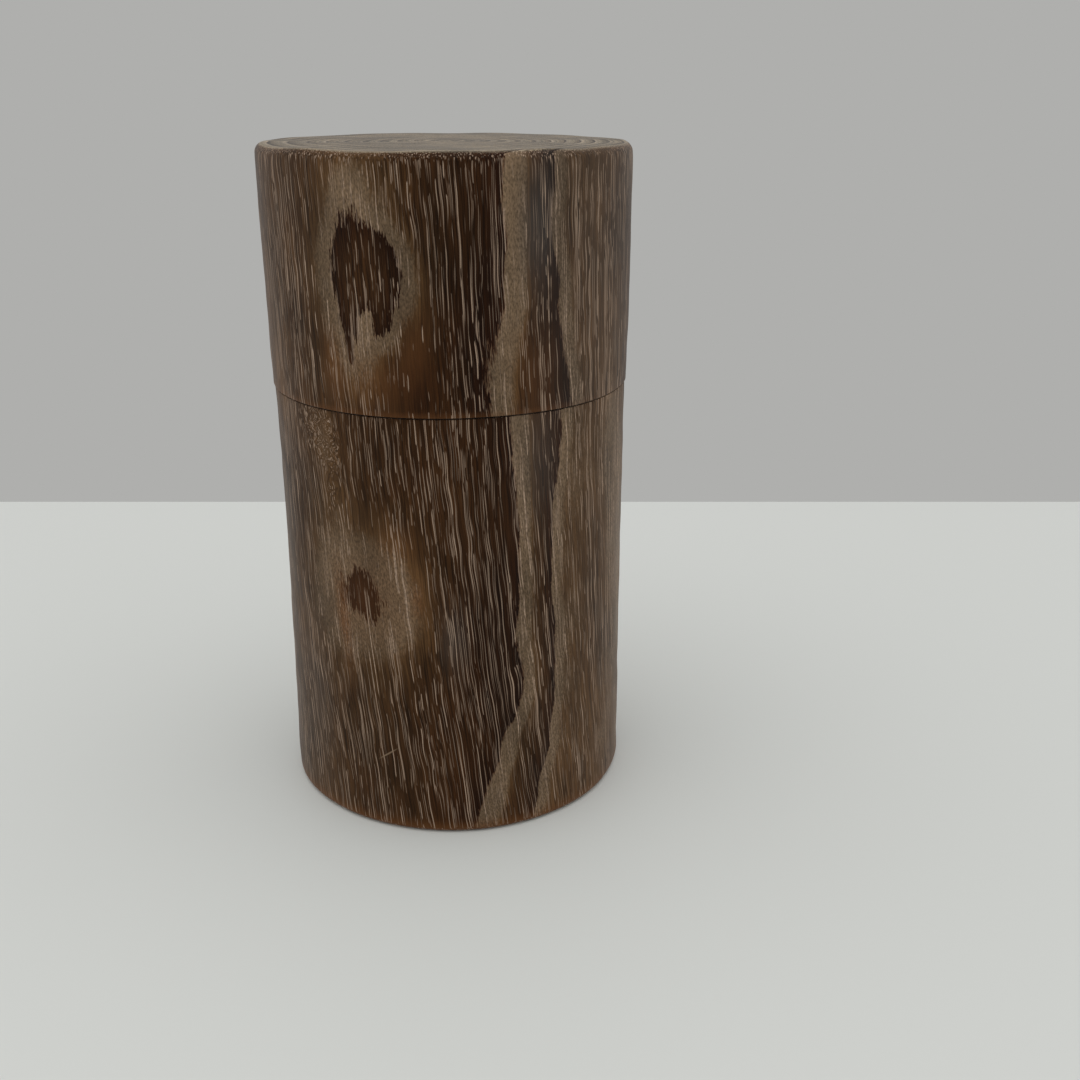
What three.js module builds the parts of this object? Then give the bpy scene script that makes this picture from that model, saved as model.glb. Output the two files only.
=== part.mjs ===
// Tea caddy turned from one length of log, in millimetres, +Z up.
// The origin is the centre of the underside, and the Z axis is the axis that every piece is turned about.
//
// How it goes together: the log is sawn in two, body and lid, and each is bored blind. A tinplate canister
// is set in the body and stands proud of it as a neck. The lid is lined with the canister's own drawn cap,
// which slides down over that neck. A pressed inner lid with a turned wooden knob plugs the neck.

import * as THREE from "three";

// Driving dimensions
const CADDY_HEIGHT = 150;
const SEAM_HEIGHT = 98;
const LID_SHOULDER_RADIUS = 41.1;
const LID_RIM_RADIUS = 40.6;
const BODY_MOUTH_RADIUS = 40.3;
const BODY_WAIST_RADIUS = 40.05;
const BODY_FOOT_RADIUS = 40.5;
const CANISTER_RADIUS = 34.4;
const NECK_TOP = 128;
const KNOB_TOP = 136.5;

// Stock, clearances and fineness
const TINPLATE = 0.5;
const FIT_GAP = 0.3;
const LOG_FLOOR = 9;
const LOG_CEILING = 10;
const ROUND_SEGMENTS = 48;
const SMALL_SEGMENTS = 24;
const ARC_STEPS = 4;

// Edges of the two wooden shells
const LID_TOP_ROUNDING = 2.4;
const FOOT_ROUNDING = 1.6;
const RIM_ROUNDING = 0.4;
const FOOT_RING_WIDTH = 11;
const FOOT_RECESS = 0.8;
const WAIST_HEIGHT = 45;

// Canister, its floor, and the cap that lines the lid
const CANISTER_FOOT = LOG_FLOOR + FIT_GAP;
const HEM_HEIGHT = 2.5;
const FLOOR_PANEL_RISE = 2.2;
const LINER_RIM_RECESS = 1;
const DRAWN_CORNER = 1.5;

// Inner lid and what holds its knob
const PLUG_DEPTH = 6.5;
const FLANGE_RADIUS = CANISTER_RADIUS - 0.1;
const KNOB_HEAD_RADIUS = 8.2;
const KNOB_WAIST_RADIUS = 4.6;
const KNOB_BASE_RADIUS = 6.2;
const SCREW_RADIUS = 1.5;
const SCREW_HEAD_RADIUS = 3.4;
const SCREW_HEAD_HEIGHT = 1.8;
const SCREW_BITE = 8;
const WASHER_RADIUS = 5.5;
const WASHER_THICKNESS = 0.8;

// Finishes
const LOG_WOOD = { color: 0x4a3526, roughness: 0.55, metalness: 0 };
const TIN = { color: 0xb9b6ae, roughness: 0.32, metalness: 1 };
const KNOB_WOOD = { color: 0x5a3a24, roughness: 0.45, metalness: 0 };
const SCREW_STEEL = { color: 0x9a9a98, roughness: 0.35, metalness: 1 };

// A point of a turned profile: distance from the axis, and height.
function at(radius, height) {
  return new THREE.Vector2(radius, height);
}

// Points round a quarter or other part of a circle, both ends included, angles in degrees.
function arc(centreRadius, centreHeight, radius, startDegrees, endDegrees) {
  const points = [];
  for (let step = 0; step <= ARC_STEPS; step += 1) {
    const share = step / ARC_STEPS;
    const angle = THREE.MathUtils.degToRad(startDegrees + share * (endDegrees - startDegrees));
    points.push(at(centreRadius + radius * Math.cos(angle), centreHeight + radius * Math.sin(angle)));
  }
  return points;
}

// A named piece turned about the Z axis. The profile runs anticlockwise round the section, with the
// axis on its left, and starts and ends on the axis or closes on itself.
function turned(name, profile, finish, segments = ROUND_SEGMENTS) {
  const geometry = new THREE.LatheGeometry(profile, segments);
  geometry.rotateX(Math.PI / 2);
  const piece = new THREE.Mesh(geometry, new THREE.MeshStandardMaterial(finish));
  piece.name = name;
  return piece;
}

// The body: a length of log bored blind from above, very slightly waisted, with a rounded foot edge and
// a shallow recess turned in the underside, so that it stands on a ring.
function bodyLog() {
  const mouth = SEAM_HEIGHT - FIT_GAP;
  const bore = CANISTER_RADIUS + FIT_GAP;
  const recess = BODY_FOOT_RADIUS - FOOT_ROUNDING - FOOT_RING_WIDTH;
  const wall = new THREE.SplineCurve([
    at(BODY_FOOT_RADIUS, FOOT_ROUNDING),
    at(BODY_WAIST_RADIUS, WAIST_HEIGHT),
    at(BODY_MOUTH_RADIUS, mouth - RIM_ROUNDING),
  ]);
  return turned("body_log", [
    at(0, FOOT_RECESS),
    at(recess - FOOT_RECESS, FOOT_RECESS),
    at(recess, 0),
    ...arc(BODY_FOOT_RADIUS - FOOT_ROUNDING, FOOT_ROUNDING, FOOT_ROUNDING, -90, 0),
    ...wall.getPoints(5).slice(1),
    at(BODY_MOUTH_RADIUS - RIM_ROUNDING, mouth),
    at(bore, mouth),
    at(bore, LOG_FLOOR),
    at(0, LOG_FLOOR),
  ], LOG_WOOD);
}

// The canister's wall: a tinplate tube with its top edge hemmed inwards. It stands proud as the neck.
function canisterWall() {
  const inside = CANISTER_RADIUS - TINPLATE;
  const hemInside = inside - TINPLATE;
  return turned("canister_wall", [
    at(inside, CANISTER_FOOT),
    at(CANISTER_RADIUS, CANISTER_FOOT),
    at(CANISTER_RADIUS, NECK_TOP - TINPLATE / 2),
    at(CANISTER_RADIUS - TINPLATE / 2, NECK_TOP),
    at(hemInside + TINPLATE / 2, NECK_TOP),
    at(hemInside, NECK_TOP - TINPLATE / 2),
    at(hemInside, NECK_TOP - HEM_HEIGHT),
    at(inside, NECK_TOP - HEM_HEIGHT),
    at(inside, CANISTER_FOOT),
  ], TIN);
}

// The canister's floor: a pressed panel raised above its own skirt, which fits inside the wall's foot.
function canisterFloor() {
  const outside = CANISTER_RADIUS - TINPLATE - FIT_GAP;
  const panelTop = CANISTER_FOOT + FLOOR_PANEL_RISE;
  return turned("canister_floor", [
    at(0, panelTop - TINPLATE),
    at(outside - TINPLATE, panelTop - TINPLATE),
    at(outside - TINPLATE, CANISTER_FOOT),
    at(outside, CANISTER_FOOT),
    at(outside, panelTop - TINPLATE),
    at(outside - TINPLATE, panelTop),
    at(0, panelTop),
  ], TIN);
}

// The lid: the top of the same log, bored blind from below, so that its top is the log's end grain.
// It is very slightly wider than the body and widens towards its rounded top edge.
function lidLog() {
  const bore = linerOutside() + FIT_GAP;
  const ceiling = CADDY_HEIGHT - LOG_CEILING;
  const shoulder = CADDY_HEIGHT - LID_TOP_ROUNDING;
  return turned("lid_log", [
    at(0, ceiling),
    at(bore, ceiling),
    at(bore, SEAM_HEIGHT),
    at(LID_RIM_RADIUS - RIM_ROUNDING, SEAM_HEIGHT),
    at(LID_RIM_RADIUS, SEAM_HEIGHT + RIM_ROUNDING),
    at((LID_RIM_RADIUS + LID_SHOULDER_RADIUS) / 2, (SEAM_HEIGHT + shoulder) / 2),
    ...arc(LID_SHOULDER_RADIUS - LID_TOP_ROUNDING, shoulder, LID_TOP_ROUNDING, 0, 90),
    at(0, CADDY_HEIGHT),
  ], LOG_WOOD);
}

// The cap that lines the lid slides over the neck, so its inside is one clearance larger than the neck.
function linerInside() {
  return CANISTER_RADIUS + FIT_GAP;
}

function linerOutside() {
  return linerInside() + TINPLATE;
}

// The lid's lining: the canister's own drawn tinplate cap, with a rounded corner at its closed end.
function lidLiner() {
  const rim = SEAM_HEIGHT + LINER_RIM_RECESS;
  const top = CADDY_HEIGHT - LOG_CEILING - FIT_GAP;
  const cornerHeight = top - DRAWN_CORNER;
  const cornerRadius = linerOutside() - DRAWN_CORNER;
  const innerCorner = DRAWN_CORNER - TINPLATE;
  return turned("lid_liner", [
    at(0, top - TINPLATE),
    ...arc(cornerRadius, cornerHeight, innerCorner, 90, 0),
    at(linerInside(), rim),
    at(linerOutside(), rim),
    ...arc(cornerRadius, cornerHeight, DRAWN_CORNER, 0, 90),
    at(0, top),
  ], TIN);
}

// Heights that the inner lid's pieces share.
function panelUnderside() {
  return NECK_TOP + FIT_GAP - PLUG_DEPTH;
}

function panelTopside() {
  return panelUnderside() + TINPLATE;
}

// The inner lid: a drawn pan whose flange rests on the neck's rim and whose wall plugs the neck.
function innerLidPan() {
  const plugOutside = CANISTER_RADIUS - 2 * TINPLATE - FIT_GAP;
  const plugInside = plugOutside - TINPLATE;
  const flangeBottom = NECK_TOP + FIT_GAP;
  const flangeTop = flangeBottom + TINPLATE;
  const corner = DRAWN_CORNER;
  const hole = SCREW_RADIUS + FIT_GAP;
  return turned("inner_lid_pan", [
    at(hole, panelUnderside()),
    ...arc(plugOutside - corner, panelUnderside() + corner, corner, -90, 0),
    at(plugOutside, flangeBottom),
    at(FLANGE_RADIUS, flangeBottom),
    at(FLANGE_RADIUS, flangeTop),
    at(plugInside, flangeTop),
    ...arc(plugOutside - corner, panelUnderside() + corner, corner - TINPLATE, 0, -90),
    at(hole, panelTopside()),
    at(hole, panelUnderside()),
  ], TIN);
}

// The knob: turned hardwood with a waist for the fingers and a domed head, bored for its screw.
function innerLidKnob() {
  const base = panelTopside() + FIT_GAP;
  const height = KNOB_TOP - base;
  const pilot = SCREW_RADIUS + FIT_GAP;
  const pilotEnd = base + SCREW_BITE + FIT_GAP;
  const side = new THREE.SplineCurve([
    at(KNOB_BASE_RADIUS, base + 0.08 * height),
    at(KNOB_WAIST_RADIUS, base + 0.34 * height),
    at(KNOB_HEAD_RADIUS, base + 0.72 * height),
    at(0.72 * KNOB_HEAD_RADIUS, base + 0.94 * height),
    at(0, KNOB_TOP),
  ]);
  return turned("inner_lid_knob", [
    at(0, pilotEnd),
    at(pilot, pilotEnd),
    at(pilot, base),
    at(KNOB_BASE_RADIUS - RIM_ROUNDING, base),
    ...side.getPoints(14),
  ], KNOB_WOOD, SMALL_SEGMENTS);
}

// The washer that spreads the screw's pull under the thin panel.
function knobWasher() {
  const top = panelUnderside() - FIT_GAP;
  const bottom = top - WASHER_THICKNESS;
  const hole = SCREW_RADIUS + FIT_GAP;
  return turned("knob_washer", [
    at(hole, bottom),
    at(WASHER_RADIUS, bottom),
    at(WASHER_RADIUS, top),
    at(hole, top),
    at(hole, bottom),
  ], SCREW_STEEL, SMALL_SEGMENTS);
}

// The round-head screw that comes up through washer and panel into the knob.
function knobScrew() {
  const headTop = panelUnderside() - WASHER_THICKNESS - 2 * FIT_GAP;
  const headBottom = headTop - SCREW_HEAD_HEIGHT;
  const tip = panelTopside() + SCREW_BITE;
  return turned("knob_screw", [
    at(0, headBottom),
    at(0.6 * SCREW_HEAD_RADIUS, headBottom + 0.15 * SCREW_HEAD_HEIGHT),
    at(0.92 * SCREW_HEAD_RADIUS, headBottom + 0.55 * SCREW_HEAD_HEIGHT),
    at(SCREW_HEAD_RADIUS, headTop),
    at(SCREW_RADIUS, headTop),
    at(SCREW_RADIUS, tip - SCREW_RADIUS),
    at(0, tip),
  ], SCREW_STEEL, SMALL_SEGMENTS);
}

const caddy = new THREE.Group();

const body = new THREE.Group();
body.add(bodyLog(), canisterWall(), canisterFloor());
caddy.add(body);

const innerLid = new THREE.Group();
innerLid.add(innerLidPan(), innerLidKnob(), knobWasher(), knobScrew());
caddy.add(innerLid);

const lid = new THREE.Group();
lid.add(lidLog(), lidLiner());
caddy.add(lid);

export default caddy;
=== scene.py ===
import math

import bpy
import numpy as np
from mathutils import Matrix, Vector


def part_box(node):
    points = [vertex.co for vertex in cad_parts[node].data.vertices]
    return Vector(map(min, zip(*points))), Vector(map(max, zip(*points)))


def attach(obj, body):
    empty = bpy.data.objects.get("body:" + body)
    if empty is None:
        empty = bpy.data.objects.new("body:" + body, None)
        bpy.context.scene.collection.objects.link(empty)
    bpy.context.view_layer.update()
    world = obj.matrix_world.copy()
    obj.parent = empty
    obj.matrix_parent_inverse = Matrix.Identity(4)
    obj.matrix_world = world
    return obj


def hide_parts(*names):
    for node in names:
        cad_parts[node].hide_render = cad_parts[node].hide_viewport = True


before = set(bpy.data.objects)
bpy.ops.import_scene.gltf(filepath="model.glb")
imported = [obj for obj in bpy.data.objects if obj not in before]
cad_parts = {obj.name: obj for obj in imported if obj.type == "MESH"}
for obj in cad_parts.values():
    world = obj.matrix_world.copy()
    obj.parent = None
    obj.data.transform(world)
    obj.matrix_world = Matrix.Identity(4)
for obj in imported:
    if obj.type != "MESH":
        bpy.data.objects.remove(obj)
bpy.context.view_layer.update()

# ---- body log ----------------------------------------------------------------------------------------
# The lower length of a hollowed log, a dark ring-porous hardwood. It was turned outside, bored blind from
# above for the tinplate canister, sanded, oiled and rubbed; the foot's edge is rounded over and its middle
# is hollowed.


def span(node):
    """A node's outer radius, lowest height and highest height, in mm."""
    low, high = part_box(node)
    return high.x * 1000, low.z * 1000, high.z * 1000


def outline(corners, closed=False):
    """The half section of a turned piece, as rows of radius and height in mm.

    A corner is (radius, height, rounding, step). An arc of that rounding that touches both legs takes the
    corner's place, with no turn over 12 degrees and no step longer than step between its points. The leg
    after it is cut into equal steps, none longer than step. closed joins the last corner to the first.
    """
    places = np.array([corner[:2] for corner in corners], float)
    arcs = []
    for here, after, before, corner in zip(places, np.roll(places, -1, 0), np.roll(places, 1, 0), corners):
        rounding, step = corner[2:]
        if rounding == 0:
            arcs.append(here[None])
            continue
        back = (before - here) / np.linalg.norm(before - here)
        ahead = (after - here) / np.linalg.norm(after - here)
        half = math.acos(back @ ahead) / 2
        middle = here + (back + ahead) / np.linalg.norm(back + ahead) * rounding / math.sin(half)
        start = here + back * rounding / math.tan(half) - middle
        stop = here + ahead * rounding / math.tan(half) - middle
        sweep = math.pi - 2 * half
        count = 2 + int(max(sweep / math.radians(12), sweep * rounding / step))
        share = np.linspace(0, 1, count)[:, None]
        spread = np.sin((1 - share) * sweep) * start + np.sin(share * sweep) * stop
        arcs.append(middle + spread / math.sin(sweep))
    rows = []
    for number, (arc, corner) in enumerate(zip(arcs, corners)):
        rows.append(arc)
        if closed or number + 1 < len(arcs):
            leg = arcs[(number + 1) % len(arcs)][0] - arc[-1]
            count = math.ceil(np.linalg.norm(leg) / corner[3])
            rows.append(arc[-1] + leg * np.arange(1, count)[:, None] / max(count, 1))
    return np.concatenate(rows)


def turned(name, section, columns, closed=False, shift=None):
    """A piece turned about +Z: section point (r, h) at bearing a lies at (r sin a, -r cos a, h).

    The section runs counter-clockwise round the solid, which puts the outside on its right. It goes from
    axis to axis, where a row is one point, or is closed on itself. shift gives each point's own move in mm.
    """
    bearings = np.arange(columns) * 2 * math.pi / columns
    pole = section[:, 0] < 1e-6
    sizes = np.where(pole, 1, columns)
    index = (np.cumsum(sizes) - sizes)[:, None] + np.where(pole[:, None], 0, np.arange(columns))
    radius = np.repeat(section[:, :1], columns, 1)
    height = np.repeat(section[:, 1:], columns, 1)
    grid = np.stack((radius * np.sin(bearings), -radius * np.cos(bearings), height), -1)
    points = grid[~pole[:, None] | (np.arange(columns) == 0)]
    if shift is not None:
        points = points + shift(points)
    low, high = (index, np.roll(index, -1, 0)) if closed else (index[:-1], index[1:])
    low_pole, high_pole = (pole, np.roll(pole, -1)) if closed else (pole[:-1], pole[1:])
    quads = np.stack((low, np.roll(low, -1, 1), np.roll(high, -1, 1), high), -1)
    faces = quads[~low_pole & ~high_pole].reshape(-1, 4).tolist()
    faces += quads[low_pole][..., [0, 2, 3]].reshape(-1, 3).tolist()
    faces += quads[high_pole][..., [0, 1, 2]].reshape(-1, 3).tolist()
    mesh = bpy.data.meshes.new(name)
    mesh.from_pydata((points / 1000).tolist(), [], faces)
    mesh.polygons.foreach_set("use_smooth", np.ones(len(faces), bool))
    mesh.set_sharp_from_angle(angle=math.radians(40))
    piece = bpy.data.objects.new(name, mesh)
    bpy.context.scene.collection.objects.link(piece)
    return piece


def wander(points, size, seed):
    """A smooth random value at each point, of spread 1: the sum of 24 cosine waves of random direction and
    phase whose lengths are near size, over the square root of 12."""
    random = np.random.default_rng(seed)
    directions = random.normal(size=(24, 3))
    directions /= np.linalg.norm(directions, axis=1, keepdims=True)
    lengths = size * random.uniform(0.7, 1.6, (24, 1))
    phases = random.uniform(0, 2 * math.pi, 24)
    return np.cos(points @ (directions * 2 * math.pi / lengths).T + phases).sum(1) / math.sqrt(12)


def hand_turned(points):
    """The turner's unevenness: slow swells of about a tenth of a millimetre and short ones of a few
    hundredths, outwards along the radius."""
    swell = 0.09 * wander(points * (1, 1, 0.7), 30, 1) + 0.03 * wander(points, 9, 2)
    radius = np.linalg.norm(points[:, :2], axis=1, keepdims=True)
    return swell[:, None] * points * (1, 1, 0) / np.maximum(radius, 1)


def eased(stations, places):
    """The value at each place between stations (place, value), joined by half cosine waves, so without a
    kink."""
    place, value = np.array(stations, float).T
    before = np.clip(np.searchsorted(place, places) - 1, 0, len(place) - 2)
    share = np.clip((places - place[before]) / (place[before + 1] - place[before]), 0, 1)
    return value[before] + (value[before + 1] - value[before]) * (1 - np.cos(math.pi * share)) / 2


def hill(bearing, height, shape):
    """A smooth hill on the log's side, 1 at its middle: exp of minus |across / half width| cubed minus
    (rise / half height) squared. shape is (bearing, height, half width, half height, lean), where lean
    moves it sideways as it rises."""
    middle, level, half_width, half_height, lean = shape
    around = (bearing - middle + 180) % 360 - 180
    across = np.radians(around) * LOG_RADIUS - lean * (height - level)
    return np.exp(-np.abs(across / half_width) ** 3 - ((height - level) / half_height) ** 2)


LOG_RADIUS = 40.6
LOG_LENGTH = 150
SPIRAL_AT_FOOT = math.tan(math.radians(7))  # the fibre climbs in a slight spiral that straightens upwards
SPIRAL_AT_TOP = math.tan(math.radians(1.5))
RING_WIDTH = 3.5
PITH_AGE = 1.7  # what the rings count down to at the pith, before a ring for each ring width is taken off
FEATHER = 0.1
FEATHER_AT_KNOTS = 0.4
CUT_REACH = 2.5  # how far from a sawn end a surface still counts as cut, in mm


def grow(piece, girths, sawn, stripes, knots, curls, red, grey, bare):
    """Stores the log's growth on the mesh, for the wood's material.

    ring_age counts the growth rings. On the side it runs straight from station to station round the log,
    and a pale stripe starts wherever it passes a whole number, the two on the front among them. A hill is
    taken off it at each knot, and one of negative strength only darkens the wood. Inside, it falls towards
    the pith.
    feather is how far the rings fray along the fibre.
    fibre is the place in mm, turned back by the spiral and scaled to an even girth, so that its z runs
    along the fibre and along the side; girths lists the side's heights and radii. curls swirl it.
    end_grain is 1 on the cut ends, whose heights are in sawn. red_stain and grey_stain are stains, and
    empty_pores is where the pores have lost their pale polish, or below 0 where they hold more of it.
    knots, curls, red, grey and bare list hills: the shape of each, and its strength as the last number.
    """
    count = len(piece.data.vertices)
    points = np.zeros(count * 3)
    piece.data.vertices.foreach_get("co", points)
    points = points.reshape(-1, 3) * 1000
    normals = np.zeros(count * 3)
    piece.data.vertex_normals.foreach_get("vector", normals)
    slope = np.abs(normals.reshape(-1, 3)[:, 2])
    bearing = np.degrees(np.arctan2(points[:, 0], -points[:, 1]))
    height = points[:, 2]

    left, right = (eased(stripe, height) for stripe in stripes)
    stations = [(-180, 3.42), (-156, 3.3), (-149, 3), (-128, 2.35), (-121, 2), (-100, 1.35), (-94, 1),
                (-85, 0.62), (-60, 0.46), (-20, 0.68), (5, 0.84),
                (left, 1), (left + 7, 1.32), (left + 9, 1.6),
                (right, 2), (right + 4, 2.3), (right + 6.5, 2.46), (right + 14, 2.46),
                (80, 2.38), (108, 3), (117, 3.4), (150, 3.75), (168, 3.6), (180, 3.42)]
    age = np.full(count, stations[0][1])
    for (start, first), (stop, last) in zip(stations, stations[1:]):
        age += (last - first) * np.clip((bearing - start) / (stop - start), 0, 1)
    drawn = points * (1, 1, 0.4)
    age += 0.04 * wander(drawn, 18, 3) + 0.012 * wander(drawn, 5, 4)
    feather = np.full(count, FEATHER)
    for *shape, depth in knots:
        swelling = hill(bearing, height, shape)
        age -= depth * swelling
        feather += FEATHER_AT_KNOTS * abs(depth) * swelling
    inward = np.clip(np.linalg.norm(points[:, :2], axis=1) / LOG_RADIUS, 0, 1)
    age = PITH_AGE + (age - PITH_AGE) * inward ** 2 - LOG_RADIUS * (1 - inward) / RING_WIDTH

    straightening = (SPIRAL_AT_FOOT - SPIRAL_AT_TOP) * height ** 2 / (2 * LOG_LENGTH)
    sway = 0.16 * wander(points * (1, 1, 0.6), 22, 5) + 0.08 * wander(points * (1, 1, 0.35), 2.6, 9)
    turn = (SPIRAL_AT_FOOT * height - straightening + sway) / LOG_RADIUS
    even = LOG_RADIUS / np.interp(height, *np.array(girths).T)
    side, front = points[:, 0] * even, points[:, 1] * even
    fibre = np.stack((side * np.cos(turn) - front * np.sin(turn),
                      side * np.sin(turn) + front * np.cos(turn), height), 1)
    curl, red_stain, grey_stain, empty = (
        sum((strength * hill(bearing, height, shape) for *shape, strength in group), np.zeros(count))
        for group in (curls, red, grey, bare))
    swirl = np.stack([wander(points, 3.2, seed) for seed in (6, 7, 8)], 1)
    fibre += curl[:, None] * swirl * (0.6, 0.6, 4)

    cut = np.isclose(height[:, None], sawn, atol=CUT_REACH).any(1)
    end = np.clip((slope - 0.6) / 0.4, 0, 1) * np.where(cut, 1, 0.3)
    for name, values in (("ring_age", age), ("feather", feather), ("end_grain", end),
                         ("red_stain", red_stain), ("grey_stain", grey_stain), ("empty_pores", empty)):
        store = piece.data.attributes.new(name, "FLOAT", "POINT")
        store.data.foreach_set("value", values.astype(np.float32))
    store = piece.data.attributes.new("fibre", "FLOAT_VECTOR", "POINT")
    store.data.foreach_set("vector", fibre.astype(np.float32).ravel())


def tone(code):
    """A colour written as sRGB hex, turned to linear light for the shader."""
    share = np.array([int(code[place:place + 2], 16) for place in (1, 3, 5)]) / 255
    return (*np.where(share <= 0.04045, share / 12.92, ((share + 0.055) / 1.055) ** 2.4).tolist(), 1)


def result(node):
    """The first of a node's outputs that its settings leave in use."""
    return next(found for found in node.outputs if found.enabled)


def add(tree, kind, inputs=(), stops=(), **settings):
    """Adds a node to a tree.

    inputs pairs a socket's name or number with a value, a node or one of its outputs. A Math node's
    sockets are 0 to 2, and a Map Range's are 1 and 2 for what goes in and 3 and 4 for what that becomes.
    stops are a colour ramp's (place, colour) pairs.
    """
    node = tree.nodes.new("ShaderNode" + kind)
    for name, value in settings.items():
        setattr(node, name, value)
    for name, value in dict(inputs).items():
        by_name = [found for found in node.inputs if found.name == name and found.enabled]
        socket = by_name[0] if by_name else node.inputs[name]
        if isinstance(value, bpy.types.Node):
            value = result(value)
        if isinstance(value, bpy.types.NodeSocket):
            tree.links.new(value, socket)
        else:
            socket.default_value = value
    for number, (place, colour) in enumerate(stops):
        ramp = node.color_ramp.elements
        stop = ramp[number] if number < 2 else ramp.new(place)
        stop.position = place
        stop.color = colour
    return node


def new_material(name):
    """A new material and its tree."""
    material = bpy.data.materials.new(name)
    material.use_nodes = True
    return material, material.node_tree


def surface(tree, colour, roughness, normal, **constants):
    """Feeds the tree's shader from three nodes, and sets its constant sockets, named with underscores."""
    shader = tree.nodes["Principled BSDF"]
    for name, node in (("Base Color", colour), ("Roughness", roughness), ("Normal", normal)):
        tree.links.new(result(node), shader.inputs[name])
    for name, value in constants.items():
        shader.inputs[name.replace("_", " ")].default_value = value


def oiled_log_wood():
    """Dark ring-porous hardwood, turned, sanded and oiled: each ring starts pale and porous and ends dense
    and dark, so its edge is sharp on one side and fades on the other, and long open vessels show as pale
    dashes."""
    material, tree = new_material("oiled_ring_porous_log_wood")
    fibre = add(tree, "Attribute", attribute_name="fibre").outputs["Vector"]
    age, feather, end, red, grey, empty = (
        add(tree, "Attribute", attribute_name=name).outputs["Fac"]
        for name in ("ring_age", "feather", "end_grain", "red_stain", "grey_stain", "empty_pores"))

    # Growth: rings frayed along the fibre by bundles 0.3 mm wide and about 2.5 mm long.
    bundles = add(tree, "Mapping", {"Vector": fibre, "Scale": (1 / 0.3, 1 / 0.3, 1 / 2.5)})
    bundle = add(tree, "TexNoise", {"Vector": bundles, "Scale": 1, "Detail": 2})
    ragged = add(tree, "Math", {0: bundle, 1: 0.5}, operation="SUBTRACT")
    ragged = add(tree, "Math", {0: ragged, 1: feather, 2: age}, operation="MULTIPLY_ADD")
    season = add(tree, "Math", {0: ragged}, operation="FRACT")
    side = add(tree, "ValToRGB", {0: season}, [
        (0, tone("#4a3020")), (1, tone("#200d03")), (0.02, tone("#6e5b47")), (0.26, tone("#685541")),
        (0.38, tone("#523b24")), (0.55, tone("#3d2815")), (0.85, tone("#2d1909"))])
    early = add(tree, "MapRange", {"Value": season, 1: 0.45, 2: 0.28, 3: 0, 4: 1},
                interpolation_type="SMOOTHSTEP")

    # Tone drifts over patches about 12 mm wide and 30 mm long, and in late wood in streaks 0.3 mm wide.
    patches = add(tree, "Mapping", {"Vector": fibre, "Scale": (1 / 12, 1 / 12, 1 / 30)})
    drift = add(tree, "TexNoise", {"Vector": patches, "Scale": 1, "Detail": 2})
    shade = add(tree, "MapRange", {"Value": drift, 1: 0.35, 2: 0.65, 3: 0.75, 4: 1.3})
    streaks = add(tree, "Mapping", {"Vector": fibre, "Scale": (1 / 0.3, 1 / 0.3, 1 / 12)})
    streak = add(tree, "TexNoise", {"Vector": streaks, "Scale": 1, "Detail": 2})
    fine_shade = add(tree, "MapRange", {"Value": streak, 1: 0.32, 2: 0.68, 3: 0.45, 4: 1.5})
    fine_shade = add(tree, "Mix", {"Factor": early, "A": fine_shade, "B": 1.0}, data_type="FLOAT")
    shade = add(tree, "Math", {0: shade, 1: fine_shade}, operation="MULTIPLY")
    side = add(tree, "VectorMath", {0: side, "Scale": shade}, operation="SCALE")

    # Stains: reddish heart colour and a grey bloom.
    side = add(tree, "Mix", {"Factor": red, "A": side, "B": tone("#6c4526")}, data_type="RGBA")
    side = add(tree, "Mix", {"Factor": grey, "A": side, "B": tone("#45413e")}, data_type="RGBA")

    # Vessels: pores 0.2 mm wide that wander along the surface, open for a few millimetres at a time and
    # filled with pale polish, some more than others, and between them a narrower and fainter kind. Each
    # pore's open lengths come from one line of noise, which its own random number starts elsewhere.
    along = add(tree, "SeparateXYZ", {"Vector": fibre}).outputs["Z"]
    along = add(tree, "Math", {0: along, 1: 1 / 7}, operation="MULTIPLY")
    groups = add(tree, "Mapping", {"Vector": fibre, "Scale": (1 / 5, 1 / 5, 1 / 16)})
    group = add(tree, "TexNoise", {"Vector": groups, "Scale": 1, "Detail": 1})
    crowd = add(tree, "MapRange", {"Value": group, 1: 0.35, 2: 0.65, 3: -0.1, 4: 0.12})
    crowd = add(tree, "Math", {0: empty, 1: -0.3, 2: crowd}, operation="MULTIPLY_ADD")
    pores = []
    for spacing, strength in ((0.4, 1.0), (0.28, 0.55)):
        cells = add(tree, "Mapping", {"Vector": fibre, "Scale": (1 / spacing, 1 / spacing, 1 / 60)})
        cell = add(tree, "TexVoronoi", {"Vector": cells, "Scale": 1}, distance="CHEBYCHEV")
        chance = add(tree, "SeparateColor", {"Color": cell.outputs["Color"]})
        track = add(tree, "Math", {0: chance.outputs["Red"], 1: 97, 2: along}, operation="MULTIPLY_ADD")
        gate = add(tree, "TexNoise", {"W": track, "Scale": 1, "Detail": 1}, noise_dimensions="1D")
        gate = add(tree, "Math", {0: gate, 1: crowd}, operation="ADD")
        bore = add(tree, "MapRange", {"Value": gate, 1: 0.27, 2: 0.46, 3: -0.1, 4: 0.25})
        depth = add(tree, "Math", {0: bore, 1: cell.outputs["Distance"]}, operation="SUBTRACT")
        fill = add(tree, "MapRange", {"Value": chance.outputs["Green"], 3: strength * 0.5, 4: strength})
        pores.append(add(tree, "MapRange", {"Value": depth, 1: -0.05, 2: 0.07, 3: 0, 4: fill}))
    pore = add(tree, "Math", {0: pores[0], 1: pores[1]}, operation="MAXIMUM")
    side = add(tree, "Mix", {"Factor": pore, "A": side, "B": tone("#a68f7b")}, data_type="RGBA")

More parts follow.
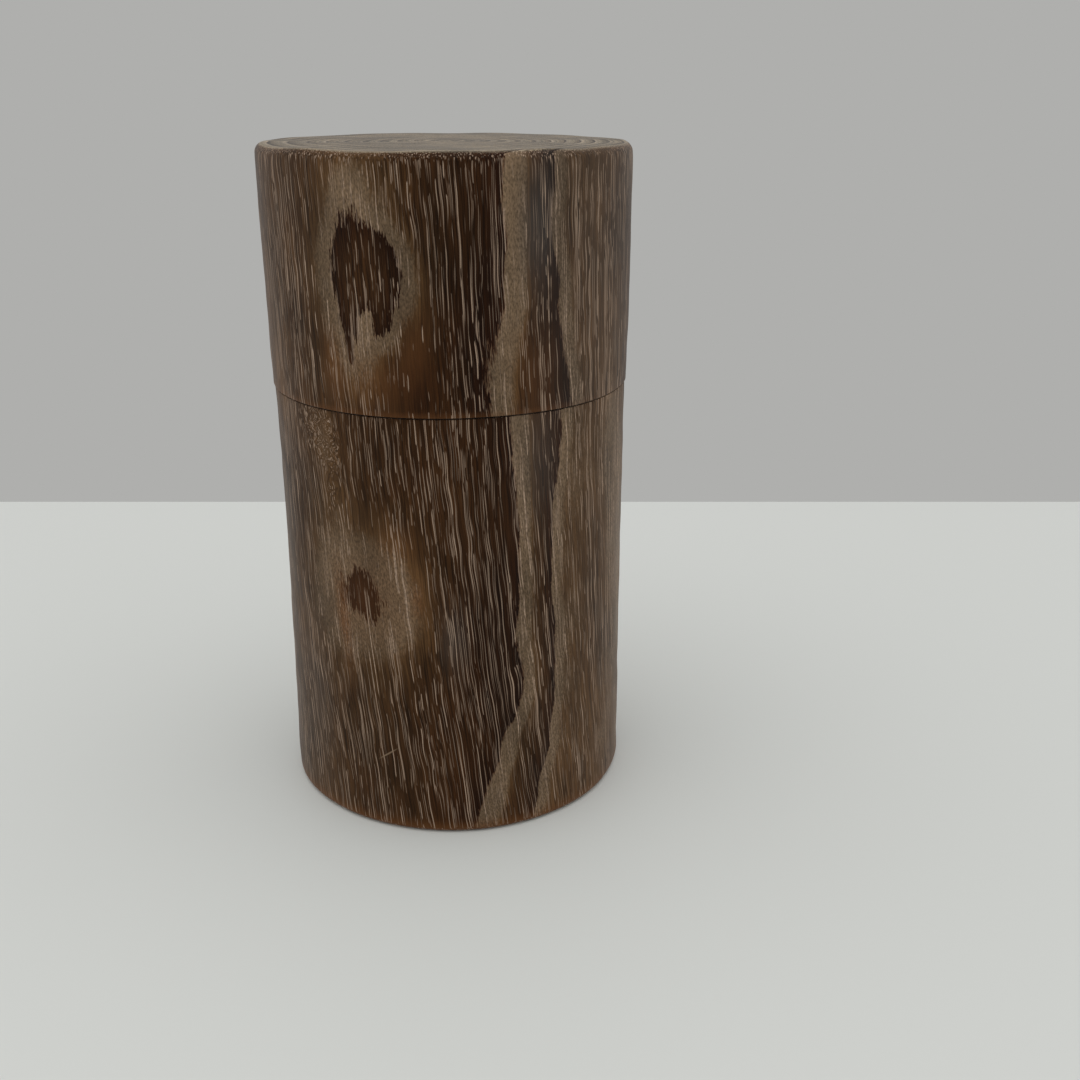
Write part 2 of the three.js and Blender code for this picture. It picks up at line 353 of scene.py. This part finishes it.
    # Early wood: crowded fine pores, a speckle of about 0.3 by 0.7 mm.
    specks = add(tree, "Mapping", {"Vector": fibre, "Scale": (1 / 0.3, 1 / 0.3, 1 / 0.7)})
    speck = add(tree, "TexNoise", {"Vector": specks, "Scale": 1, "Detail": 2})
    fleck = add(tree, "MapRange", {"Value": speck, 1: 0.32, 2: 0.68, 3: 0.62, 4: 1.3})
    flecked = add(tree, "VectorMath", {0: side, "Scale": fleck}, operation="SCALE")
    side = add(tree, "Mix", {"Factor": early, "A": side, "B": flecked}, data_type="RGBA")

    # Wear: one short scratch low on the body, 5.6 mm long and 0.4 mm wide, down to pale bare wood. It is
    # a stretched spot, whose length and width are its places along and across, over their halves.
    bearing, tilt = math.radians(-19.8), math.radians(36)
    middle = (0.0404 * math.sin(bearing), -0.0404 * math.cos(bearing), 0.0191)
    run = (math.cos(bearing) * math.cos(tilt), math.sin(bearing) * math.cos(tilt), math.sin(tilt))
    rise = (-math.cos(bearing) * math.sin(tilt), -math.sin(bearing) * math.sin(tilt), math.cos(tilt))
    spot = add(tree, "TexCoord").outputs["Object"]
    spot = add(tree, "VectorMath", {0: spot, 1: middle}, operation="SUBTRACT")
    length = add(tree, "VectorMath", {0: spot, 1: run}, operation="DOT_PRODUCT")
    length = add(tree, "Math", {0: length, 1: 1 / 0.0028}, operation="MULTIPLY")
    width = add(tree, "VectorMath", {0: spot, 1: rise}, operation="DOT_PRODUCT")
    width = add(tree, "Math", {0: width, 1: 1 / 0.0002}, operation="MULTIPLY")
    scratch = add(tree, "CombineXYZ", {0: length, 1: width})
    scratch = add(tree, "VectorMath", {0: scratch}, operation="LENGTH")
    scratch = add(tree, "MapRange", {"Value": scratch, 1: 0.5, 2: 1.2, 3: 0.8, 4: 0})
    side = add(tree, "Mix", {"Factor": scratch, "A": side, "B": tone("#84705a")}, data_type="RGBA")

    # End grain: paler and greyer, in fine bands with a dark line where each ring ends, and with a fringe of
    # open pores where it meets the side.
    fine_rings = add(tree, "Math", {0: age, 1: 4.3}, operation="MULTIPLY")
    fine_rings = add(tree, "TexNoise", {"W": fine_rings, "Scale": 1, "Detail": 3}, noise_dimensions="1D")
    band = add(tree, "MapRange", {"Value": fine_rings, 1: 0.35, 2: 0.65, 3: 0.5, 4: 1.2})
    ends = add(tree, "ValToRGB", {0: season}, [
        (0, tone("#54463a")), (1, tone("#362a1f")), (0.05, tone("#8b7d6a")), (0.5, tone("#80735f")),
        (0.85, tone("#6a5c4a"))])
    for strength in (band, fleck, shade):
        ends = add(tree, "VectorMath", {0: ends, "Scale": strength}, operation="SCALE")
    fringe = add(tree, "Math", {0: speck, 1: 0.9, 2: end}, operation="MULTIPLY_ADD")
    fringe = add(tree, "MapRange", {"Value": fringe, 1: 1.05, 2: 1.2, 3: 0, 4: 1})
    colour = add(tree, "Mix", {"Factor": fringe, "A": side, "B": ends}, data_type="RGBA")

    rough = add(tree, "MapRange", {"Value": pore, 1: 0, 2: 1, 3: 0.48, 4: 0.75})
    groove = add(tree, "Math", {0: pore, 1: -0.8, 2: streak}, operation="MULTIPLY_ADD")
    relief = add(tree, "Bump", {"Height": groove, "Distance": 0.00004, "Strength": 0.5})
    surface(tree, colour, rough, relief, Specular_IOR_Level=0.06, Sheen_Weight=0.1, Sheen_Roughness=0.35)
    return material


def place(piece, body, slot, material, node):
    """Gives a finished piece its material, hands it to its body and hides the node it stands for. slot is
    not used."""
    piece.data.materials.append(material)
    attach(piece, body)
    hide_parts(node)


FIT_GAP = 0.3  # left for glue, and between pieces that touch
RECESS = 0.8
RECESS_RADIUS = 27.1
FOOT_ROUNDING = 1.6
WAIST = 0.45  # how much slimmer the log is at its waist than at its foot
WAIST_HEIGHT = 45
WAIST_CURVE = 3000  # a hollow so slight that its radius is 3 m
MOUTH_TAPER = 0.2
EASED_EDGE = 0.4
LOG_COLUMNS = 428  # a point every 0.6 mm round the log
log_wood = oiled_log_wood()
canister_radius, canister_foot, neck_top = span("canister_wall")
foot_radius, ground, mouth = span("body_log")
bore = canister_radius + FIT_GAP
bore_floor = canister_foot - FIT_GAP
body_log = turned("log_body", outline([
    (0, RECESS, 0, 2),
    (RECESS_RADIUS, RECESS, EASED_EDGE, 0.5),
    (RECESS_RADIUS + RECESS, ground, EASED_EDGE, 1.5),
    (foot_radius, ground, FOOT_ROUNDING, 0.75),
    (foot_radius - WAIST, WAIST_HEIGHT, WAIST_CURVE, 0.75),
    (foot_radius - MOUTH_TAPER, mouth, 0.2, 1),
    (bore, mouth, 0.3, 8),
    (bore, bore_floor, 0.5, 6),
    (0, bore_floor, 0, 6)]), LOG_COLUMNS, shift=hand_turned)
grow(body_log,
     girths=[(ground, foot_radius), (WAIST_HEIGHT, foot_radius - WAIST),
             (mouth, foot_radius - MOUTH_TAPER)],
     sawn=[ground, bore_floor],
     stripes=[[(0, 9), (12, 12), (20, 15), (34, 21), (46, 20), (57, 20.5), (75, 20), (97, 20)],
              [(0, 28), (8, 29), (20, 33), (36, 35), (44, 35), (60, 34), (75, 34.5), (97, 38)]],
     knots=[(-25, 57, 13.5, 14.5, -0.05, 0.55),  # the small knot on the front, and its core
            (-26, 59.5, 3, 6.5, -0.12, 0.14),
            (-60, 70, 9, 30, 0, -0.15),  # darker on the left, paler in the curl and left of the stripes
            (-38, 91, 3, 7, 0, 0.14),
            (15, 58, 5, 25, 0, 0.04),
            (54, 45, 12, 65, 0, -0.12),  # darker on the right
            (150, 62, 9, 15, -0.05, 0.95)],  # a knot behind
     curls=[(-41, 93, 5, 4.5, -0.2, 1.2), (-36, 86, 2, 9, 0, 1.1)],
     red=[(-34, 50, 1.6, 10, -0.1, 0.5), (-8, 58, 1.5, 4, 0, 0.4),  # at the knot
          (-24, 56, 11, 12, 0, 0.22), (-14, 70, 4, 4, 0, 0.25),
          (0, 0.3, 200, 2.2, 0, 0.7)],  # all round the foot's edge
     grey=[(30, 88, 5, 14, 0, 0.4), (3, 48, 3, 7, 0, 0.4), (-50, 30, 6, 20, 0, 0.3),
           (60, 50, 20, 70, 0, 0.15)],
     bare=[(-25, 57, 14, 12, 0, 0.4), (-22, 78, 6, 6, 0, 0.5), (-5, 40, 5, 10, 0, 0.3),
           (-4, 68, 4, 8, 0, 0.4), (8, 62, 9, 25, 0, -0.35), (-3, 18, 18, 14, 0, -0.3),
           (15, 6, 14, 12, 0, -0.35), (15, 58, 5, 25, 0, -0.4), (-38, 91, 4, 8, 0, -0.6)])
place(body_log, "caddy_body", "log_wood", log_wood, "body_log")

# ---- canister floor ----------------------------------------------------------------------------------
# A round panel of tinplate pressed up above its own skirt, which is soldered inside the canister wall's
# foot.


def rolled_tinplate():
    """Tinplate: steel sheet rolled and dipped in tin, then drawn. A soft grey-white mirror with faint
    drawing lines 0.35 mm apart up its walls, a fine bloom on its flats, and clouds about 9 mm wide where
    it has been handled."""
    material, tree = new_material("drawn_tinplate")
    spot = add(tree, "TexCoord").outputs["Object"]
    lines = add(tree, "Mapping", {"Vector": spot, "Scale": (1 / 0.00035, 1 / 0.00035, 1 / 0.03)})
    line = add(tree, "TexNoise", {"Vector": lines, "Scale": 1, "Detail": 2})
    clouds = add(tree, "Mapping", {"Vector": spot, "Scale": (1 / 0.009, 1 / 0.009, 1 / 0.009)})
    cloud = add(tree, "TexNoise", {"Vector": clouds, "Scale": 1, "Detail": 3})
    colour = add(tree, "ValToRGB", {0: cloud}, [(0.3, tone("#aeaba3")), (0.7, tone("#cdcac2"))])
    rough = add(tree, "Math", {0: line, 1: 0.12, 2: 0.2}, operation="MULTIPLY_ADD")
    rough = add(tree, "Math", {0: cloud, 1: 0.12, 2: rough}, operation="MULTIPLY_ADD")
    relief = add(tree, "Bump", {"Height": line, "Distance": 0.000004, "Strength": 0.5})
    surface(tree, colour, rough, relief, Metallic=1)
    return material


SHEET = 0.5
CUT_EDGE = 0.12  # the rounding that deburring leaves on a cut sheet
FLOOR_CORNER = 0.7
SHEET_COLUMNS = 180
tinplate = rolled_tinplate()
floor_radius, skirt_foot, panel_top = span("canister_floor")
canister_floor = turned("tin_floor", outline([
    (0, panel_top - SHEET, 0, 2),
    (floor_radius - SHEET, panel_top - SHEET, 0.3, 1),
    (floor_radius - SHEET, skirt_foot, CUT_EDGE, 0.5),
    (floor_radius, skirt_foot, CUT_EDGE, 1),
    (floor_radius, panel_top, FLOOR_CORNER, 2),
    (0, panel_top, 0, 2)]), SHEET_COLUMNS)
place(canister_floor, "caddy_body", "tinplate", tinplate, "canister_floor")

# ---- canister wall -----------------------------------------------------------------------------------
# A drawn tinplate tube with its top edge folded in as a hem. It is glued in the body's bore and stands
# proud of the mouth as the neck that the lid slides over.
HEM = 2.5
HEM_FOLD = 0.45
inside = canister_radius - SHEET
canister_wall = turned("tin_wall", outline([
    (inside, canister_foot, CUT_EDGE, 1),
    (canister_radius, canister_foot, CUT_EDGE, 2),
    (canister_radius, neck_top, HEM_FOLD, 1),
    (inside - SHEET, neck_top, HEM_FOLD, 1),
    (inside - SHEET, neck_top - HEM, 0.15, 1),
    (inside, neck_top - HEM, 0.1, 2)], closed=True), SHEET_COLUMNS, closed=True)
place(canister_wall, "caddy_body", "tinplate", tinplate, "canister_wall")

# ---- inner lid pan -----------------------------------------------------------------------------------
# The pressed tinplate pan that plugs the neck. Its flange rests on the neck's rim, and a low bead pressed
# in its panel stiffens it.
CORNER = 1.5
ROLLED_EDGE = 0.15
BEAD_RADIUS = 24
BEAD_WIDTH = 2.2
BEAD_RISE = 0.5
SCREW_HOLE = 1.8
flange_radius, pan_bottom, flange_top = span("inner_lid_pan")
plug = inside - SHEET - FIT_GAP


def beaded(points):
    """Raises a round bead in the panel: a bell curve of the distance from the bead's radius."""
    radius = np.linalg.norm(points[:, :2], axis=1)
    rise = BEAD_RISE * np.exp(-((radius - BEAD_RADIUS) / (BEAD_WIDTH / 2)) ** 2)
    return np.stack((0 * rise, 0 * rise, rise), 1)


inner_lid_pan = turned("tin_pan", outline([
    (SCREW_HOLE, pan_bottom, 0.1, 0.7),
    (plug, pan_bottom, CORNER, 1),
    (plug, flange_top - SHEET, ROLLED_EDGE, 0.5),
    (flange_radius, flange_top - SHEET, ROLLED_EDGE, 0.5),
    (flange_radius, flange_top, ROLLED_EDGE, 0.5),
    (plug - SHEET, flange_top, 0.4, 1),
    (plug - SHEET, pan_bottom + SHEET, CORNER - SHEET, 0.7),
    (SCREW_HOLE, pan_bottom + SHEET, 0.1, 0.5)], closed=True), SHEET_COLUMNS, closed=True, shift=beaded)
place(inner_lid_pan, "inner_lid", "tinplate", tinplate, "inner_lid_pan")

# ---- knob washer -------------------------------------------------------------------------------------
# A stamped steel washer between the screw's head and the thin panel, with the punch's rolled edge.


def satin_steel():
    """Bright drawn steel, tumbled after it was cut: even satin with a grit of 0.2 mm, drawn coarser than
    the real one so that it shows, and small darker stains."""
    material, tree = new_material("satin_steel")
    spot = add(tree, "TexCoord").outputs["Object"]
    grit = add(tree, "Mapping", {"Vector": spot, "Scale": (1 / 0.0002, 1 / 0.0002, 1 / 0.0002)})
    grit = add(tree, "TexNoise", {"Vector": grit, "Scale": 1, "Detail": 2})
    stains = add(tree, "Mapping", {"Vector": spot, "Scale": (1 / 0.0025, 1 / 0.0025, 1 / 0.0025)})
    stains = add(tree, "TexNoise", {"Vector": stains, "Scale": 1, "Detail": 2})
    colour = add(tree, "ValToRGB", {0: stains}, [(0.35, tone("#8f8d89")), (0.6, tone("#b9b8b5"))])
    rough = add(tree, "Math", {0: grit, 1: 0.15, 2: 0.25}, operation="MULTIPLY_ADD")
    relief = add(tree, "Bump", {"Height": grit, "Distance": 0.000006, "Strength": 0.5})
    surface(tree, colour, rough, relief, Metallic=1)
    return material


ROLLED_BY_PUNCH = 0.25
steel = satin_steel()
washer_radius, washer_bottom, washer_top = span("knob_washer")
knob_washer = turned("steel_washer", outline([
    (SCREW_HOLE, washer_bottom, 0.1, 0.5),
    (washer_radius, washer_bottom, ROLLED_BY_PUNCH, 0.5),
    (washer_radius, washer_top, 0.12, 0.5),
    (SCREW_HOLE, washer_top, 0.2, 0.5)], closed=True), 96, closed=True)
place(knob_washer, "inner_lid", "screw_steel", steel, "knob_washer")

# ---- knob screw --------------------------------------------------------------------------------------
# A round-head steel screw with a straight slot. It comes up through washer and panel and bites in the
# knob.
SHANK_RADIUS = 1.5
HEAD_HEIGHT = 1.8
HEAD_ROUNDING = 1.7
SLOT_WIDTH = 0.8
SLOT_DEPTH = 0.9
head_radius, head_bottom, tip = span("knob_screw")


def slotted(points):
    """Cuts the slot across the head: points within it move up to its flat floor."""
    side, front, height = points.T
    cut = (np.abs(side) < SLOT_WIDTH / 2) & (height < head_bottom + SLOT_DEPTH)
    return np.stack((0 * side, 0 * front, np.where(cut, head_bottom + SLOT_DEPTH - height, 0)), 1)


knob_screw = turned("steel_screw", outline([
    (0, head_bottom, 0, 0.12),
    (head_radius, head_bottom, HEAD_ROUNDING, 0.12),
    (head_radius, head_bottom + HEAD_HEIGHT, 0.1, 0.3),
    (SHANK_RADIUS, head_bottom + HEAD_HEIGHT, 0.1, 1),
    (SHANK_RADIUS, tip - SHANK_RADIUS, 0.3, 0.3),
    (0, tip, 0, 1)]), 160, shift=slotted)
place(knob_screw, "inner_lid", "screw_steel", steel, "knob_screw")

# ---- inner lid knob ----------------------------------------------------------------------------------
# The small knob that lifts the inner lid: one hardwood turning with a waist for the fingers and a domed
# head, drilled from below for its screw.


def oiled_knob_wood():
    """Plain fine-grained hardwood, turned with its grain upright and oiled: warm brown with rings 1.4 mm
    wide about a pith outside the knob, and short fine pores 0.22 mm wide."""
    material, tree = new_material("oiled_knob_wood")
    spot = add(tree, "TexCoord").outputs["Object"]
    heart = add(tree, "Mapping", {"Vector": spot, "Location": (0.021, 0.012, 0)})
    flat = add(tree, "VectorMath", {0: heart, 1: (1000, 1000, 40)}, operation="MULTIPLY")
    warp = add(tree, "TexNoise", {"Vector": flat, "Scale": 0.25, "Detail": 2})
    from_pith = add(tree, "VectorMath", {0: flat}, operation="LENGTH")
    ring = add(tree, "Math", {0: warp, 1: 1.5, 2: from_pith}, operation="MULTIPLY_ADD")
    ring = add(tree, "Math", {0: ring, 1: 1 / 1.4}, operation="MULTIPLY")
    ring = add(tree, "Math", {0: ring}, operation="FRACT")
    colour = add(tree, "ValToRGB", {0: ring}, [
        (0, tone("#5a3a22")), (1, tone("#3c2413")), (0.1, tone("#74502f")), (0.7, tone("#5d3d23"))])
    pores = add(tree, "Mapping", {"Vector": spot, "Scale": (1 / 0.00022, 1 / 0.00022, 1 / 0.002)})
    pore = add(tree, "TexNoise", {"Vector": pores, "Scale": 1, "Detail": 2})
    shade = add(tree, "MapRange", {"Value": pore, 1: 0.35, 2: 0.6, 3: 0.6, 4: 1.15})
    colour = add(tree, "VectorMath", {0: colour, "Scale": shade}, operation="SCALE")
    rough = add(tree, "MapRange", {"Value": pore, 1: 0.35, 2: 0.6, 3: 0.6, 4: 0.38})
    relief = add(tree, "Bump", {"Height": pore, "Distance": 0.00002, "Strength": 0.4})
    surface(tree, colour, rough, relief, Specular_IOR_Level=0.4)
    return material


KNOB_FOOT = 6.2
KNOB_WAIST = 4.2
WAIST_RISE = 4.6
SHOULDER_RISE = 9.4
knob_radius, knob_base, knob_top = span("inner_lid_knob")
pilot_end = tip + 0.6
inner_lid_knob = turned("wooden_knob", outline([
    (0, pilot_end, 0, 1),
    (SCREW_HOLE, pilot_end, 0.2, 2),
    (SCREW_HOLE, knob_base, 0.2, 1),
    (KNOB_FOOT, knob_base, 0.4, 0.4),
    (KNOB_WAIST, knob_base + WAIST_RISE, 5, 0.4),
    (knob_radius + 0.35, knob_base + SHOULDER_RISE, 1.8, 0.4),
    (knob_radius - 1.4, knob_top - 0.7, 2.4, 0.4),
    (0, knob_top, 0, 0.5)]), 120)
place(inner_lid_knob, "inner_lid", "knob_wood", oiled_knob_wood(), "inner_lid_knob")

# ---- lid liner ---------------------------------------------------------------------------------------
# The canister's own drawn tinplate cap, glued in the lid's bore. Its wall runs on the neck.
liner_radius, liner_rim, liner_top = span("lid_liner")
lid_liner = turned("tin_liner", outline([
    (0, liner_top - SHEET, 0, 2),
    (liner_radius - SHEET, liner_top - SHEET, CORNER - SHEET, 2),
    (liner_radius - SHEET, liner_rim, ROLLED_EDGE, 0.5),
    (liner_radius, liner_rim, ROLLED_EDGE, 2),
    (liner_radius, liner_top, CORNER, 2),
    (0, liner_top, 0, 2)]), SHEET_COLUMNS)
place(lid_liner, "outer_lid", "tinplate", tinplate, "lid_liner")

# ---- lid log -----------------------------------------------------------------------------------------
# The next length of the same log, bored blind from below. Its top is the log's end grain, sanded flat,
# with the edge eased over; the saw's kerf is why the two lengths' figure doesn't quite meet at the seam.
RIM_TAPER = 0.5
SHOULDER_DROP = 3
SHOULDER_CURVE = 6
TOP_EDGE = 2
shoulder_radius, lid_rim, lid_top = span("lid_log")
lid_bore = liner_radius + FIT_GAP


def hand_sanded(points):
    """The turner's unevenness and, in the top 3 mm, slow hollows of a tenth of a millimetre left by hand
    sanding."""
    nearness = np.clip(points[:, 2] - lid_top + SHOULDER_DROP, 0, SHOULDER_DROP) / SHOULDER_DROP
    hollow = 0.08 * wander(points * (1, 1, 0), 16, 10) * nearness
    return hand_turned(points) + hollow[:, None] * (0, 0, 1)


lid_log = turned("log_lid", outline([
    (0, liner_top + FIT_GAP, 0, 6),
    (lid_bore, liner_top + FIT_GAP, 0.6, 8),
    (lid_bore, lid_rim, 0.3, 1),
    (shoulder_radius - RIM_TAPER, lid_rim, 0.15, 0.6),
    (shoulder_radius, lid_top - SHOULDER_DROP, SHOULDER_CURVE, 0.6),
    (shoulder_radius - 0.15, lid_top, TOP_EDGE, 0.6),
    (0, lid_top, 0, 0.6)]), LOG_COLUMNS, shift=hand_sanded)
grow(lid_log,
     girths=[(lid_rim, shoulder_radius - RIM_TAPER), (lid_top, shoulder_radius)],
     sawn=[lid_top, liner_top],
     stripes=[[(98, 15.5), (104, 16), (112, 17), (121, 19.3), (135, 19.2), (150, 19)],
              [(98, 42), (103, 41), (112, 39.5), (123, 37.6), (135, 34.4), (150, 35)]],
     knots=[(-19, 125.5, 11.7, 19, -0.04, 0.92),  # the large knot on the front
            (-14, 140, 7, 5, 0, -0.14),  # the lobes and bays of its outline
            (-23, 143, 3.5, 5, 0, 0.12),
            (-7, 137, 3.5, 5, 0, -0.12),
            (-33, 138, 3, 5, 0, -0.1),
            (-20, 117.5, 1.7, 3.5, 0.1, -0.3),
            (-14, 116, 2.6, 4.5, -0.15, 0.16),
            (-25.5, 117, 2.5, 4, 0, 0.14),
            (-25.6, 110.5, 0.8, 3, -0.1, 0.4),
            (-23, 105, 8, 6, 0, 0.08),  # paler below it, darker to its right, paler left of the stripes
            (-9, 108, 6, 9, 0, -0.34),
            (7, 138, 5, 14, 0, 0.08),
            (146, 120, 8, 12, 0.05, 0.9)],  # a knot behind
     curls=[],
     red=[(-32, 108, 2.5, 8, -0.1, 0.35), (-18, 105, 8, 6, 0, 0.3), (-6, 112, 3, 7, 0, 0.3),
          (30, 107, 5, 8, 0, 0.25),
          (-20, 98.2, 60, 0.7, 0, 0.35)],  # along the rim's edge
     grey=[(29, 136, 4, 13, 0, 0.6), (60, 122, 20, 60, 0, 0.3)],
     bare=[(-3, 108, 8, 13, 0, 0.9), (-36, 124, 5, 14, 0, 0.3), (-19, 127, 9, 10, 0, 0.6),
           (8, 138, 6, 16, 0, -0.4)])
place(lid_log, "outer_lid", "log_wood", log_wood, "lid_log")

# ---- table -------------------------------------------------------------------------------------------
# The plain matt white table top that the caddy stands on. Its far edge is where the pale room begins.
TABLE_FAR_EDGE = 0.199
TABLE_NEAR_EDGE = -1.2
TABLE_HALF_WIDTH = 0.8
mesh = bpy.data.meshes.new("table_top")
mesh.from_pydata([(-TABLE_HALF_WIDTH, TABLE_NEAR_EDGE, 0), (TABLE_HALF_WIDTH, TABLE_NEAR_EDGE, 0),
                  (TABLE_HALF_WIDTH, TABLE_FAR_EDGE, 0), (-TABLE_HALF_WIDTH, TABLE_FAR_EDGE, 0)], [],
                 [(0, 1, 2, 3)])
table = bpy.data.objects.new("table_top", mesh)
bpy.context.scene.collection.objects.link(table)
matt, tree = new_material("matt_white_table")
shader = tree.nodes["Principled BSDF"]
shader.inputs["Base Color"].default_value = tone("#d5d7d3")
shader.inputs["Roughness"].default_value = 0.6
mesh.materials.append(matt)

# ---- light -------------------------------------------------------------------------------------------
# A pale room, brighter overhead and at its sides, whose wall the camera sees as plain grey, and one large
# soft lamp above the caddy on the left.
world = bpy.data.worlds.new("pale_room")
world.use_nodes = True
room = world.node_tree
seen_directly = add(room, "LightPath").outputs["Is Camera Ray"]
toward = add(room, "SeparateXYZ", {"Vector": add(room, "TexCoord").outputs["Generated"]})
above = add(room, "MapRange", {"Value": toward.outputs["Z"], 1: -0.1, 2: 0.9, 3: 0.255, 4: 0.8925})
sideways = add(room, "Math", {0: toward.outputs["X"]}, operation="ABSOLUTE")
sides = add(room, "MapRange", {"Value": sideways, 1: 0.4, 2: 1, 3: 0, 4: 0.6})
glow = add(room, "Math", {0: above, 1: sides}, operation="ADD")
glow = add(room, "CombineXYZ", {0: glow, 1: glow, 2: glow})
wall = add(room, "Mix", {"Factor": seen_directly, "A": glow, "B": tone("#afafad")}, data_type="RGBA")
room.links.new(result(wall), room.nodes["Background"].inputs["Color"])
bpy.context.scene.world = world
lamp = bpy.data.lights.new("soft_ceiling_light", "AREA")
lamp.shape = "DISK"
lamp.size = 0.7
lamp.energy = 1.2
lamp_object = bpy.data.objects.new("soft_ceiling_light", lamp)
lamp_object.location = (-0.1, -0.35, 0.95)
lamp_object.rotation_euler = (math.radians(-20), math.radians(-6), 0)
bpy.context.scene.collection.objects.link(lamp_object)

# ---- camera ------------------------------------------------------------------------------------------
# A hand-held camera, a little above the lid and slightly to the right of the caddy, tilted down by 20
# degrees.
camera = bpy.data.cameras.new("camera")
camera.sensor_width = 36
camera.lens = 42.09
camera_object = bpy.data.objects.new("camera", camera)
camera_object.location = (0.02078, -0.28962, 0.16364)
camera_object.rotation_euler = (math.radians(69.752), 0, 0)
bpy.context.scene.collection.objects.link(camera_object)
bpy.context.scene.camera = camera_object
bpy.context.scene.view_settings.view_transform = "Standard"
